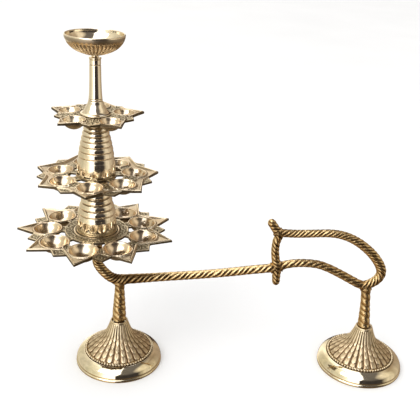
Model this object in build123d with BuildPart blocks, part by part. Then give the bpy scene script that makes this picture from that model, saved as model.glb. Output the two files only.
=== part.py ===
from build123d import *
import os
from math import cos, radians, sin, sqrt

# Brass oil lamp: a column of three star-shaped tiers and a top bowl, clamped on a tie rod, carried
# by a rope-pattern handle that stands on two domed bases.
# Millimetres. X runs along the handle, from the lamp column to the rear base. Z is up and the floor
# is Z = 0. The origin is the middle of the footprint.

column_x = -121.3
front_leg_x = column_x + 21.4
rear_leg_x = column_x + 273.0

# Tie rod and running clearance round it
rod_radius = 3.0
rod_clearance = 0.06
rod_hole_radius = rod_radius + rod_clearance
rod_bottom_z = 116.0
rod_top_z = 271.0
turning_gap = 0.2

# Tiers: height of each plate's upper face
bottom_plate_z = 146.0
middle_plate_z = 202.2
top_plate_z = 259.2
plate_thickness = 1.6
rim_height = 0.8
well_wall = 1.3

# Tier plates: the valleys beside a spout lie at this share of the step to the next lamp, the raised
# lamp outline is set in from the plate's edge, and a wick channel is cut from each well to its spout
valley_share = 0.29
lamp_edge_share = 0.28
lamp_inset = 0.6
spout_inset = 1.4
channel_inset = 5.5
channel_depth = 1.3
channel_width_share = 0.52
gap_clearance = 0.4
gap_reach = 12.0
cut_margin = 1.0

# Uneven pitch of the hand-cut patterns: direction of each lamp's spout, in degrees from +X
bottom_angles = [24, 61, 102, 143, 182, 220, 261, 300, 345]
middle_angles = [12, 62, 113, 166, 216, 267, 319]
top_angles = [19, 89, 159, 231, 305]

# Upper column and bowl
upper_column_top_z = 310.0
foot_radius = 13.9
shaft_radius = 5.0
stud_radius = 2.0
stud_clearance = 0.05
stud_length = 8.0
bowl_radius = 26.3
bowl_rim_z = 330.0

# Handle
bar_radius = 4.4
grip_radius = 4.2
post_radius = 4.1
neck_radius = 5.0
leg_foot_z = 44.0
front_leg_radius = 7.0
rear_leg_radius = 6.4
knob_extra = 0.3
hub_bottom_z = 131.0
hub_radius = 16.0

# Bases
base_radius = 43.4
base_height = 46.5
base_roof_z = 33.0
leg_stud_radius = 4.0
leg_stud_clearance = 0.08
socket_clearance = 0.35
washer_radius = 8.0
washer_clearance = 0.2
washer_thickness = 1.2
nut_thickness = 5.0
nut_across_flats = 13.0
stud_past_nut = 1.5

os.makedirs("parts", exist_ok=True)

column_axis = Axis((column_x, 0, 0), (0, 0, 1))
column_profile = Plane(origin=(column_x, 0, 0), x_dir=(1, 0, 0), z_dir=(0, -1, 0))


def level(z, x=column_x):
    """Horizontal plane at height z, centred on a vertical axis at x."""
    return Plane(origin=(x, 0, z))


def finish_part(part, name):
    part.label = name
    export_step(part, f"parts/{name}.step")
    return part


# ---------------------------------------------------------------- tiers

def spout_directions(angles):
    """Lamp angles with the next lamp's angle, going once round."""
    following = angles[1:] + [angles[0] + 360]
    return list(zip(angles, following))


def polar(radius, angle):
    return (radius * cos(radians(angle)), radius * sin(radians(angle)))


def star_outline(angles, tip, valley, leaf):
    """Points of the plate's edge: a long tip on each lamp, a short leaf between lamps."""
    points = []
    for angle, following in spout_directions(angles):
        middle = (angle + following) / 2
        step = (following - angle) * valley_share
        points.append(polar(tip, angle))
        points.append(polar(valley, angle + step))
        points.append(polar(leaf, middle))
        points.append(polar(valley, following - step))
    return points


def cast_tier(name, plate_z, angles, tip, valley, leaf, lamp_circle, well_radius, well_depth, gap):
    """Star plate with raised pointed lamps, round wells hanging below it, and gaps beside the hub.

    A gap is (hub disc radius, radius where the gap ends, width of the spoke left at each lamp).
    """
    rim_z = plate_z + rim_height
    sphere_radius = (well_radius**2 + well_depth**2) / (2 * well_depth)
    sphere_z = rim_z + sphere_radius - well_depth
    lamp_radius = sqrt((sphere_radius + well_wall) ** 2 - (sphere_radius - well_depth) ** 2)
    lamps = [Location((*polar(lamp_circle, angle), 0), (0, 0, angle)) for angle in angles]
    well_centres = [Location((*polar(lamp_circle, angle), sphere_z)) for angle in angles]
    shoulder = valley - lamp_circle
    spout = tip - lamp_circle
    half_width = valley * sin(radians(360 / len(angles) * lamp_edge_share))
    with BuildPart(level(0)) as tier:
        with BuildSketch(level(plate_z - plate_thickness)):
            with BuildLine():
                Polyline(*star_outline(angles, tip, valley, leaf), close=True)
            make_face()
        extrude(amount=plate_thickness)
        # raised lamp outlines, set in a little from the plate's edge
        with BuildSketch(level(plate_z)):
            with Locations(*lamps):
                Circle(lamp_radius)
                Polygon(
                    (spout - spout_inset, 0),
                    (shoulder - lamp_inset, half_width - lamp_inset),
                    (0, lamp_radius),
                    (0, -lamp_radius),
                    (shoulder - lamp_inset, lamp_inset - half_width),
                    align=None,
                )
        extrude(amount=rim_height)
        with Locations(*well_centres):
            Sphere(sphere_radius + well_wall)
        split(bisect_by=Plane.XY.offset(rim_z), keep=Keep.BOTTOM)
        # wick channels, open to the wells
        with BuildSketch(level(rim_z)):
            with Locations(*lamps):
                Polygon(
                    (spout - channel_inset, 0),
                    (well_radius - cut_margin, well_radius * channel_width_share),
                    (well_radius - cut_margin, -well_radius * channel_width_share),
                    align=None,
                )
        extrude(amount=-channel_depth, mode=Mode.SUBTRACT)
        with Locations(*well_centres):
            Sphere(sphere_radius, mode=Mode.SUBTRACT)
        if gap:
            hub_edge, gap_end, spoke_width = gap
            spokes = [Location((*polar(hub_edge, angle), 0), (0, 0, angle)) for angle in angles]
            with BuildSketch(level(plate_z + cut_margin)):
                Circle(gap_end)
                Circle(hub_edge, mode=Mode.SUBTRACT)
                with Locations(*lamps):
                    Circle(lamp_radius + gap_clearance, mode=Mode.SUBTRACT)
                with Locations(*spokes):
                    Rectangle(gap_reach, spoke_width, mode=Mode.SUBTRACT)
            extrude(amount=-plate_thickness - 2 * cut_margin, mode=Mode.SUBTRACT)
        with BuildSketch(level(plate_z + cut_margin)):
            Circle(rod_hole_radius)
        extrude(amount=-plate_thickness - 2 * cut_margin, mode=Mode.SUBTRACT)
    return finish_part(tier.part, name)


cast_tier(
    "bottom_tier", bottom_plate_z, bottom_angles,
    tip=74.6, valley=58.5, leaf=65.0,
    lamp_circle=46.2, well_radius=12.4, well_depth=9.6, gap=(30.2, 41.0, 11.0),
)
cast_tier(
    "middle_tier", middle_plate_z, middle_angles,
    tip=58.0, valley=48.0, leaf=53.5,
    lamp_circle=35.0, well_radius=10.8, well_depth=8.6, gap=(18.6, 25.5, 9.0),
)
cast_tier(
    "top_tier", top_plate_z, top_angles,
    tip=44.8, valley=32.5, leaf=36.5,
    lamp_circle=26.2, well_radius=9.2, well_depth=7.6, gap=None,
)


# ---------------------------------------------------------------- column

band_taper = 1.0
band_step = 0.3
shoulder_height = 3.8
shoulder_taper = 0.4
groove_depth = 0.5
rib_bulge = 0.9
rib_droop = 0.4
rib_shrink = 0.2
spacer_wall = 2.2
spacer_cap = 4.0


def spacer_grooves(shoulder, top_z, rib_count, top_radius, curve):
    """Groove points of a beehive spacer, from its shoulder up; the ribs get lower and narrower."""
    shoulder_radius, shoulder_z = shoulder
    points = []
    for i in range(rib_count + 1):
        share = i / rib_count * (1 + rib_shrink * (1 - i / rib_count))
        narrowing = (shoulder_radius - top_radius) * (1 - share**curve)
        points.append((top_radius + narrowing - groove_depth, shoulder_z + (top_z - shoulder_z) * share))
    return points


def ribbed_spacer(name, bottom_z, top_z, bottom_radius, band_height, rib_count, top_radius, curve):
    """Hollow turned spacer: a plain band, a low shoulder, then rounded ribs that step inwards."""
    cap_z = top_z - spacer_cap
    band_top = (bottom_radius - band_taper, bottom_z + band_height)
    step = (band_top[0] - band_step, band_top[1] + band_step)
    shoulder = (step[0] - shoulder_taper, band_top[1] + shoulder_height)
    grooves = spacer_grooves(shoulder, top_z, rib_count, top_radius, curve)
    grooves[0] = (grooves[0][0], shoulder[1] + groove_depth / 2)
    with BuildPart() as spacer:
        with BuildSketch(column_profile):
            with BuildLine():
                Polyline(
                    (rod_hole_radius, top_z),
                    (rod_hole_radius, cap_z),
                    (top_radius - spacer_cap, cap_z),
                    (bottom_radius - spacer_wall, bottom_z),
                    (bottom_radius, bottom_z),
                    band_top,
                    step,
                    shoulder,
                    grooves[0],
                )
                for lower, upper in zip(grooves, grooves[1:]):
                    bulge = ((lower[0] + upper[0]) / 2 + rib_bulge, (lower[1] + upper[1]) / 2 - rib_droop)
                    ThreePointArc(lower, bulge, upper)
                Line(grooves[-1], (rod_hole_radius, top_z))
            make_face()
        revolve(axis=column_axis)
    return finish_part(spacer.part, name)


ribbed_spacer(
    "lower_column",
    bottom_plate_z + turning_gap, middle_plate_z - plate_thickness - turning_gap,
    bottom_radius=19.2, band_height=13.9, rib_count=7, top_radius=8.2, curve=1.05,
)
ribbed_spacer(
    "middle_column",
    middle_plate_z + turning_gap, top_plate_z - plate_thickness - turning_gap,
    bottom_radius=17.9, band_height=14.2, rib_count=8, top_radius=8.0, curve=1.25,
)

# Slim column with a bell foot; threaded on the tie rod, it clamps the stack
foot_z = top_plate_z + turning_gap
with BuildPart() as upper_column:
    with BuildSketch(column_profile):
        with BuildLine():
            Polyline(
                (rod_hole_radius, rod_top_z + 1),
                (rod_hole_radius, foot_z),
                (foot_radius, foot_z),
                (foot_radius, foot_z + 1.3),
                (foot_radius - 1.6, foot_z + 1.9),
            )
            Spline(
                (foot_radius - 1.6, foot_z + 1.9),
                (9.6, foot_z + 6.0),
                (7.4, foot_z + 9.4),
                (6.3, foot_z + 12.6),
            )
            Polyline(
                (6.3, foot_z + 12.6),
                (5.9, foot_z + 13.0),
                (5.9, foot_z + 13.4),
                (6.2, foot_z + 13.8),
                (5.8, foot_z + 14.2),
            )
            Spline(
                (5.8, foot_z + 14.2),
                (5.4, foot_z + 24),
                (shaft_radius, upper_column_top_z - 6.9),
            )
            Polyline(
                (shaft_radius, upper_column_top_z - 6.9),
                (shaft_radius - 0.4, upper_column_top_z - 6.5),
                (shaft_radius, upper_column_top_z - 6.1),
                (shaft_radius, upper_column_top_z - 1.8),
                (shaft_radius + 0.4, upper_column_top_z - 1.3),
                (shaft_radius + 0.4, upper_column_top_z - 0.3),
                (shaft_radius, upper_column_top_z),
                (stud_radius + stud_clearance, upper_column_top_z),
                (stud_radius + stud_clearance, upper_column_top_z - stud_length - 1),
                (0, upper_column_top_z - stud_length - 1),
                (0, rod_top_z + 1),
                (rod_hole_radius, rod_top_z + 1),
            )
        make_face()
    revolve(axis=column_axis)
finish_part(upper_column.part, "upper_column")

# Bowl on a thin neck, with a threaded stud that screws into the column's top
neck_bottom_z = upper_column_top_z + turning_gap
with BuildPart() as top_cup:
    with BuildSketch(column_profile):
        with BuildLine():
            Polyline(
                (0, upper_column_top_z - stud_length),
                (stud_radius, upper_column_top_z - stud_length),
                (stud_radius, neck_bottom_z),
                (3.4, neck_bottom_z),
                (2.8, neck_bottom_z + 0.8),
                (2.8, neck_bottom_z + 1.5),
                (5.5, bowl_rim_z - 18.1),
            )
            Spline(
                (5.5, bowl_rim_z - 18.1),
                (10.6, bowl_rim_z - 16.6),
                (16.6, bowl_rim_z - 14.1),
                (20.8, bowl_rim_z - 11.2),
                (24.0, bowl_rim_z - 7.6),
                (25.8, bowl_rim_z - 3.6),
                (bowl_radius, bowl_rim_z - 0.6),
            )
            Polyline((bowl_radius, bowl_rim_z - 0.6), (bowl_radius - 0.4, bowl_rim_z))
            Line((bowl_radius - 0.4, bowl_rim_z), (bowl_radius - 1.2, bowl_rim_z))
            Spline(
                (bowl_radius - 1.2, bowl_rim_z),
                (24.2, bowl_rim_z - 4.0),
                (20.8, bowl_rim_z - 9.0),
                (13.4, bowl_rim_z - 13.4),
                (0, bowl_rim_z - 15.6),
            )
            Line((0, bowl_rim_z - 15.6), (0, upper_column_top_z - stud_length))
        make_face()
    revolve(axis=column_axis)
finish_part(top_cup.part, "top_cup")

with BuildPart() as tie_rod:
    with BuildSketch(level(rod_bottom_z)):
        Circle(rod_radius)
    extrude(amount=rod_top_z - rod_bottom_z)
    chamfer(tie_rod.edges().filter_by(GeomType.CIRCLE), length=0.6)
finish_part(tie_rod.part, "tie_rod")

collar_top_z = bottom_plate_z - plate_thickness - turning_gap
with BuildPart() as hub_collar:
    with BuildSketch(column_profile):
        with BuildLine():
            Polyline(
                (rod_hole_radius, hub_bottom_z),
                (neck_radius + 1.2, hub_bottom_z),
                (neck_radius + 1.8, hub_bottom_z + 2.2),
            )
            Spline(
                (neck_radius + 1.8, hub_bottom_z + 2.2),
                (9.0, hub_bottom_z + 5.5),
                (14.6, collar_top_z - 3.4),
            )
            Polyline(
                (14.6, collar_top_z - 3.4),
                (hub_radius, collar_top_z - 2.8),
                (hub_radius, collar_top_z),
                (rod_hole_radius, collar_top_z),
                (rod_hole_radius, hub_bottom_z),
            )
        make_face()
    revolve(axis=column_axis)
finish_part(hub_collar.part, "hub_collar")


# ---------------------------------------------------------------- handle

def rod_limb(points, radii, radius):
    """Round limb along straight runs joined by arcs, in the handle's upright plane."""
    with BuildPart() as limb:
        with BuildLine(column_profile) as route:
            FilletPolyline(*points, radius=radii)
        with BuildSketch(Plane(origin=route.line @ 0, z_dir=route.line % 0)):
            Circle(radius)
        sweep(path=route.line)
    return limb.part


# Routes: distance from the column's axis along X, and height
neck_end = (28.0, 92.9)
bar_end = (174.5, 110.7)
grip_meet = (266.8, 92.6)
post_foot = (176.8, 94.5)
post_tip = (166.2, 159.8)

neck_route = [(0, hub_bottom_z), (0, 108.6), (9.0, 97.6), (17.5, 91.8), neck_end]
bar_route = [neck_end, (101, 100.6), bar_end]
post_route = [post_foot, (176.4, 111.5), (172.6, 130), (175.2, 147), post_tip]
grip_top_route = [(174.5, 148.6), (226, 150.8), (257, 140.8), (282.6, 115.8), (281.2, 99.4), grip_meet]
grip_bottom_route = [(174.5, 111.2), (190, 115.9), (214, 116.4), (256, 95.9), grip_meet]

neck_shape = rod_limb(neck_route, [14, 16, 14], neck_radius)
bar_shape = rod_limb(bar_route, [150], bar_radius)
post_shape = rod_limb(post_route, [25, 25, 14], post_radius)
grip_top_shape = rod_limb(grip_top_route, [60, 55, 13, 8.5], grip_radius)
grip_bottom_shape = rod_limb(grip_bottom_route, [25, 40, 24], grip_radius)


def cope(shape, *others):
    """The shape with the space of the other shapes taken out, so that the pieces meet face to face."""
    with BuildPart() as coped:
        add(shape)
        for other in others:
            add(other, mode=Mode.SUBTRACT)
    return max(coped.part.solids(), key=lambda solid: solid.volume)


def leg_shape(top, top_radius, foot_x, foot_radius):
    """Tapered leg down to its shoulder in the base, with a threaded stud below."""
    with BuildPart() as leg:
        with BuildSketch(level(top[1], column_x + top[0])):
            Circle(top_radius)
        with BuildSketch(level(leg_foot_z, foot_x)):
            Circle(foot_radius)
        loft()
        with BuildSketch(level(leg_foot_z, foot_x)):
            Circle(leg_stud_radius)
        extrude(amount=stud_bottom_z - leg_foot_z)
    return leg.part


def save_limb(shape, name):
    with BuildPart() as limb:
        add(shape)
    return finish_part(limb.part, name)


stud_bottom_z = base_roof_z - washer_thickness - nut_thickness - stud_past_nut

with BuildPart() as post_with_knobs:
    add(post_shape)
    for knob_x, knob_z in (post_foot, post_tip):
        with Locations((column_x + knob_x, 0, knob_z)):
            Sphere(post_radius + knob_extra)
guard_post_part = save_limb(post_with_knobs.part, "guard_post")

with BuildPart() as neck_bored:
    add(neck_shape)
    with BuildSketch(level(hub_bottom_z)):
        Circle(rod_hole_radius)
    extrude(amount=rod_bottom_z - cut_margin - hub_bottom_z, mode=Mode.SUBTRACT)
neck_part = save_limb(neck_bored.part, "neck")

main_bar_part = save_limb(cope(bar_shape, neck_shape, guard_post_part), "main_bar")
grip_top_part = save_limb(cope(grip_top_shape, guard_post_part), "grip_top")
grip_bottom_part = save_limb(
    cope(grip_bottom_shape, guard_post_part, main_bar_part, grip_top_part), "grip_bottom"
)
front_leg_shape = leg_shape((21.6, 92.0), 4.8, front_leg_x, front_leg_radius)
rear_leg_shape = leg_shape((268.4, 93.0), 4.7, rear_leg_x, rear_leg_radius)
save_limb(cope(front_leg_shape, neck_part, main_bar_part), "front_leg")
save_limb(cope(rear_leg_shape, grip_top_part, grip_bottom_part), "rear_leg")


# ---------------------------------------------------------------- bases

def domed_base(name, x, socket_radius):
    """Hollow domed foot: rolled lip, polished band, bead ring, ogee dome and a socket for the leg."""
    profile = Plane(origin=(x, 0, 0), x_dir=(1, 0, 0), z_dir=(0, -1, 0))
    with BuildPart() as base:
        with BuildSketch(profile):
            with BuildLine():
                Polyline(
                    (base_radius - 4.2, 0),
                    (base_radius - 0.5, 0),
                    (base_radius, 0.6),
                    (base_radius, 2.8),
                    (base_radius - 0.5, 3.3),
                )
                Spline(
                    (base_radius - 0.5, 3.3),
                    (base_radius - 0.5, 4.8),
                    (base_radius - 1.8, 8.2),
                    (base_radius - 4.8, 11.4),
                    (35.0, 13.8),
                )
                ThreePointArc((35.0, 13.8), (33.3, 15.4), (31.9, 15.3))
                Spline(
                    (31.9, 15.3),
                    (28.6, 18.2),
                    (24.4, 22.0),
                    (20.2, 25.4),
                    (16.4, 29.2),
                    (13.4, 33.6),
                    (11.4, 37.8),
                    (9.9, 42.0),
                    (9.0, 45.2),
                )
                Polyline(
                    (9.0, 45.2),
                    (8.5, base_height),
                    (socket_radius, base_height),
                    (socket_radius, leg_foot_z),
                    (leg_stud_radius + leg_stud_clearance, leg_foot_z),
                    (leg_stud_radius + leg_stud_clearance, base_roof_z),
                    (9.0, base_roof_z),
                )
                Spline(
                    (9.0, base_roof_z),
                    (11.5, 32.2),
                    (14.7, 27.8),
                    (18.7, 23.8),
                    (23.0, 20.3),
                    (27.1, 16.6),
                    (30.5, 13.4),
                )
                Spline((30.5, 13.4), (36.0, 10.2), (39.4, 6.4), (base_radius - 4.2, 0))
            make_face()
        revolve(axis=Axis((x, 0, 0), (0, 0, 1)))
    return finish_part(base.part, name)


def base_washer(name, x):
    with BuildPart() as washer:
        with BuildSketch(level(base_roof_z, x)):
            Circle(washer_radius)
            Circle(leg_stud_radius + washer_clearance, mode=Mode.SUBTRACT)
        extrude(amount=-washer_thickness)
    return finish_part(washer.part, name)


def base_nut(name, x):
    with BuildPart() as nut:
        with BuildSketch(level(base_roof_z - washer_thickness, x)):
            RegularPolygon(nut_across_flats / 2, 6, major_radius=False)
            Circle(leg_stud_radius + leg_stud_clearance, mode=Mode.SUBTRACT)
        extrude(amount=-nut_thickness)
    return finish_part(nut.part, name)


domed_base("front_base", front_leg_x, front_leg_radius + socket_clearance)
domed_base("rear_base", rear_leg_x, rear_leg_radius + socket_clearance)
base_washer("front_base_washer", front_leg_x)
base_washer("rear_base_washer", rear_leg_x)
base_nut("front_base_nut", front_leg_x)
base_nut("rear_base_nut", rear_leg_x)
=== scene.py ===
from math import cos, hypot, pi, radians, sin, sqrt

import bpy
import numpy as np
from mathutils import Matrix, Vector
from mathutils.geometry import delaunay_2d_cdt


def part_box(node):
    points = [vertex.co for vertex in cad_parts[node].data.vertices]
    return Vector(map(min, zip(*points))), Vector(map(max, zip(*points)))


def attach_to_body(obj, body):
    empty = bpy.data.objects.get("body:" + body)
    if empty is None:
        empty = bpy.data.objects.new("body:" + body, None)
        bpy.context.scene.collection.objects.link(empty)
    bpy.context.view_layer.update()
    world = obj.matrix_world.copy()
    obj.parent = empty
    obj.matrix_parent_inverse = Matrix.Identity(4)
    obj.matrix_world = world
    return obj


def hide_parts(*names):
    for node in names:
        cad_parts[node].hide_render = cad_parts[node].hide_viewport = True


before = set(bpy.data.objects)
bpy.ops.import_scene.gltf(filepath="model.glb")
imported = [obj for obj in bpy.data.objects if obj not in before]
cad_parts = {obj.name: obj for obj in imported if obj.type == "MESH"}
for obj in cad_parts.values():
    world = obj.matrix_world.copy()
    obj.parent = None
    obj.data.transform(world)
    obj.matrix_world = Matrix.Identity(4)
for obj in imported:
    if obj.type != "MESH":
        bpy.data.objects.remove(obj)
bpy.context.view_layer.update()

# Shapes below are in millimetres, measured from the lamp column's axis, and are placed by the CAD
# boxes: MM turns them into the frame's metres.
MM = 0.001


def middle_x(node):
    low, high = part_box(node)
    return (low[0] + high[0]) / 2 / MM


def bottom_z(node):
    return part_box(node)[0][2] / MM


def top_z(node):
    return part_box(node)[1][2] / MM


COLUMN_X = middle_x("tie_rod")
BASE_RADIUS = (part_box("front_base")[1][0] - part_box("front_base")[0][0]) / 2 / MM
# Radii of the hole for the tie rod, of the hole for a leg's stud, and of the tent round the lamp.
ROD_HOLE = 3.06
STUD_HOLE = 4.08
TENT_RADIUS = 6000


# ------------------------------------------------------------------ camera

def make_camera():
    """A camera 433 mm up, looking 23 degrees down, turned and rolled by about 3.5 degrees."""
    x, y, z = COLUMN_X + 69.55, -606.15, 433.34
    yaw, pitch, roll = 0.0613, 0.4088, 0.0594
    ahead = Vector((sin(yaw) * cos(pitch), cos(yaw) * cos(pitch), -sin(pitch)))
    level_right = Vector((cos(yaw), -sin(yaw), 0))
    level_up = level_right.cross(ahead)
    right = cos(roll) * level_right + sin(roll) * level_up
    up = -sin(roll) * level_right + cos(roll) * level_up
    data = bpy.data.cameras.new("camera")
    data.sensor_width = 36
    data.lens = 59.8
    data.clip_start = 0.01
    camera = bpy.data.objects.new("camera", data)
    bpy.context.collection.objects.link(camera)
    turned_to = Matrix((right, up, -ahead)).transposed().to_4x4()
    camera.matrix_world = Matrix.Translation((x * MM, y * MM, z * MM)) @ turned_to
    bpy.context.scene.camera = camera


# ------------------------------------------------------------------ material helpers

class Nodes:
    """Short calls for building one material's node tree."""

    def __init__(self, name):
        self.material = bpy.data.materials.new(name)
        self.material.use_nodes = True
        self.tree = self.material.node_tree
        self.shader = self.tree.nodes["Principled BSDF"]
        self.output = self.tree.nodes["Material Output"]

    def node(self, kind, **settings):
        made = self.tree.nodes.new(kind)
        for key, value in settings.items():
            setattr(made, key, value)
        return made

    def link(self, source, target):
        self.tree.links.new(source, target)

    def where(self):
        return self.node("ShaderNodeTexCoord").outputs["Object"]

    def attribute(self, name):
        return self.node("ShaderNodeAttribute", attribute_name=name).outputs["Fac"]

    def stretched(self, scale):
        """The piece's own coordinates, scaled by a different factor along each axis."""
        mapping = self.node("ShaderNodeMapping")
        mapping.inputs["Scale"].default_value = scale
        self.link(self.where(), mapping.inputs["Vector"])
        return mapping.outputs["Vector"]

    def noise(self, scale, detail, vector=None, roughness=0.5):
        made = self.node("ShaderNodeTexNoise")
        made.inputs["Scale"].default_value = scale
        made.inputs["Detail"].default_value = detail
        made.inputs["Roughness"].default_value = roughness
        self.link(vector or self.where(), made.inputs["Vector"])
        return made.outputs["Fac"]

    def math(self, operation, a, b=None, clamp=False):
        made = self.node("ShaderNodeMath", operation=operation, use_clamp=clamp)
        for slot, value in zip(made.inputs, (a, b)):
            if value is None:
                continue
            if isinstance(value, (int, float)):
                slot.default_value = value
            else:
                self.link(value, slot)
        return made.outputs[0]

    def ramp(self, source, *stops):
        """Colour ramp through (position, colour) stops; a number as colour is a grey."""
        made = self.node("ShaderNodeValToRGB")
        ramp = made.color_ramp
        while len(ramp.elements) < len(stops):
            ramp.elements.new(0.5)
        for element, (position, colour) in zip(ramp.elements, stops):
            element.position = position
            if isinstance(colour, (int, float)):
                colour = (colour,) * 3
            element.color = (*colour, 1)
        self.link(source, made.inputs["Fac"])
        return made.outputs["Color"]

    def worn(self, relief, noise, amount):
        """Relief broken up by a noise, as uneven rubbing leaves it."""
        shift = self.math("MULTIPLY", self.math("SUBTRACT", noise, 0.5), amount)
        return self.math("ADD", relief, shift, clamp=True)

    def blend(self, kind, share, a, b):
        made = self.node("ShaderNodeMix", data_type="RGBA", blend_type=kind)
        for slot, value in ((made.inputs[0], share), (made.inputs[6], a), (made.inputs[7], b)):
            if isinstance(value, (int, float)):
                slot.default_value = value
            elif isinstance(value, tuple):
                slot.default_value = (*value, 1)
            else:
                self.link(value, slot)
        return made.outputs[2]

    def bump(self, *layers):
        """Bump from (height, distance in metres) layers, one on the other."""
        normal = None
        for height, distance in layers:
            made = self.node("ShaderNodeBump")
            made.inputs["Strength"].default_value = 1.0
            made.inputs["Distance"].default_value = distance
            self.link(height, made.inputs["Height"])
            if normal:
                self.link(normal, made.inputs["Normal"])
            normal = made.outputs["Normal"]
        self.link(normal, self.shader.inputs["Normal"])

    def metal(self, colour, roughness):
        """Makes the shader bare metal."""
        self.shader.inputs["Metallic"].default_value = 1.0
        self.link(colour, self.shader.inputs["Base Color"])
        self.link(roughness, self.shader.inputs["Roughness"])


# ------------------------------------------------------------------ materials

def polished_brass():
    """Turned, polished pale brass: faint lathe lines, hazy stains, dark brown where relief is low, which is
    painted shade in the grooves and on the bowl, partly polishing paste left in the grooves.
    """
    n = Nodes("polished_brass")
    relief = n.attribute("relief")
    tone = n.noise(38, 4)
    lathe = n.noise(1, 2, n.stretched((60, 60, 2600)))
    clean = n.ramp(tone, (0.30, (0.82, 0.70, 0.52)), (0.62, (0.91, 0.82, 0.68)))
    # painted shade: low relief turns the brass dark brown, partly polishing paste in the grooves
    residue_and_shade = n.ramp(relief, (0.10, (0.10, 0.055, 0.025)), (0.62, 1.0))
    haze = n.noise(140, 5)
    shine = n.ramp(haze, (0.35, 0.07), (0.75, 0.16))
    dull = n.ramp(relief, (0.2, 0.42), (0.8, 0.0))
    n.metal(n.blend("MULTIPLY", 1.0, clean, residue_and_shade), n.blend("ADD", 1.0, shine, dull))
    n.bump((lathe, 0.000010), (haze, 0.00002))
    return n.material


def cast_brass():
    """Cast tier: polished wells and rims, engraved ground that is dark in its recesses."""
    n = Nodes("cast_brass")
    relief, polish = n.attribute("relief"), n.attribute("polish")
    tone = n.noise(60, 4)
    fine = n.noise(1100, 3)
    worn = n.worn(relief, fine, 0.5)
    # the ground colour also paints shade on the plate's underside and walls, which carry low relief
    ground = n.ramp(
        worn, (0.12, (0.105, 0.075, 0.045)), (0.45, (0.31, 0.255, 0.165)), (0.85, (0.70, 0.615, 0.45))
    )
    bright = n.ramp(tone, (0.3, (0.70, 0.54, 0.38)), (0.65, (0.88, 0.76, 0.59)))
    rough = n.ramp(worn, (0.2, 0.52), (0.8, 0.30))
    smooth = n.ramp(tone, (0.3, 0.15), (0.7, 0.26))
    n.metal(n.blend("MIX", polish, ground, bright), n.blend("MIX", polish, rough, smooth))
    grain = n.math("MULTIPLY", fine, n.math("SUBTRACT", 1.0, polish))
    n.bump((grain, 0.00022), (tone, 0.00002))
    return n.material


def antique_brass():
    """Cast rope pattern: rubbed golden strands over dark brown recesses."""
    n = Nodes("antique_brass")
    relief = n.attribute("relief")
    patina = n.noise(190, 5, roughness=0.62)
    worn = n.worn(relief, patina, 0.75)
    # low relief paints patina in the recesses and, at the limbs' corners, painted shade
    colour = n.ramp(
        worn, (0.12, (0.045, 0.022, 0.008)), (0.45, (0.25, 0.15, 0.065)), (0.72, (0.54, 0.37, 0.175)),
        (0.95, (0.76, 0.57, 0.31)),
    )
    n.metal(colour, n.ramp(worn, (0.2, 0.52), (0.9, 0.25)))
    n.bump((n.noise(800, 4), 0.00020), (n.noise(260, 3), 0.0007))
    return n.material


def base_brass():
    """Domed base: satin leaf relief with brown recesses, mirror-polished outer band."""
    n = Nodes("base_brass")
    relief, polish = n.attribute("relief"), n.attribute("polish")
    tone = n.noise(45, 4)
    fine = n.noise(1000, 3)
    worn = n.worn(relief, fine, 0.3)
    # low relief paints patina between the leaves and painted shade in the socket and grooves
    ground = n.ramp(
        worn, (0.06, (0.13, 0.075, 0.04)), (0.40, (0.41, 0.305, 0.19)), (0.90, (0.82, 0.69, 0.49))
    )
    bright = n.ramp(tone, (0.3, (0.80, 0.71, 0.50)), (0.65, (0.90, 0.82, 0.66)))
    haze = n.noise(150, 5)
    rough = n.ramp(haze, (0.3, 0.34), (0.7, 0.46))
    smooth = n.ramp(haze, (0.35, 0.05), (0.75, 0.13))
    n.metal(n.blend("MIX", polish, ground, bright), n.blend("MIX", polish, rough, smooth))
    grain = n.math("MULTIPLY", fine, n.math("SUBTRACT", 1.0, polish))
    n.bump((grain, 0.00010), (haze, 0.00002))
    return n.material


def plain_steel():
    """Plated steel of the rod, nuts and washers, with drawn lines and dull spots."""
    n = Nodes("plain_steel")
    grain = n.noise(1, 3, n.stretched((1800, 1800, 90)))
    grey = n.ramp(n.noise(220, 4), (0.3, (0.34, 0.33, 0.31)), (0.7, (0.60, 0.59, 0.56)))
    n.metal(grey, n.ramp(grain, (0.3, 0.28), (0.7, 0.45)))
    n.bump((grain, 0.00003))
    return n.material


POLISHED = polished_brass()
CAST = cast_brass()
ANTIQUE = antique_brass()
BASE = base_brass()
STEEL = plain_steel()


# ------------------------------------------------------------------ stage: floor, tent and lights

def make_floor():
    """Wide pale floor that the brass does not mirror."""
    n = Nodes("pale_floor")
    n.link(n.ramp(n.noise(3, 3), (0.3, 0.90), (0.7, 0.93)), n.shader.inputs["Base Color"])
    n.shader.inputs["Roughness"].default_value = 0.85
    n.bump((n.noise(400, 2), 0.00003))
    half = 4000
    corners = [(-half, -half, 0), (half, -half, 0), (half, half, 0), (-half, half, 0)]
    floor = new_mesh("floor", corners, [(0, 1, 2, 3)], n.material)
    floor.visible_glossy = False


def panel_ramp(nodes, across, *stops):
    """Colours of the tent's panels; stops are (x as a share of the tent's radius, colour)."""
    span = 3.0
    position = nodes.math("ADD", nodes.math("DIVIDE", across, span), 0.5)
    return nodes.ramp(position, *[(share / span + 0.5, colour) for share, colour in stops])


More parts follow.
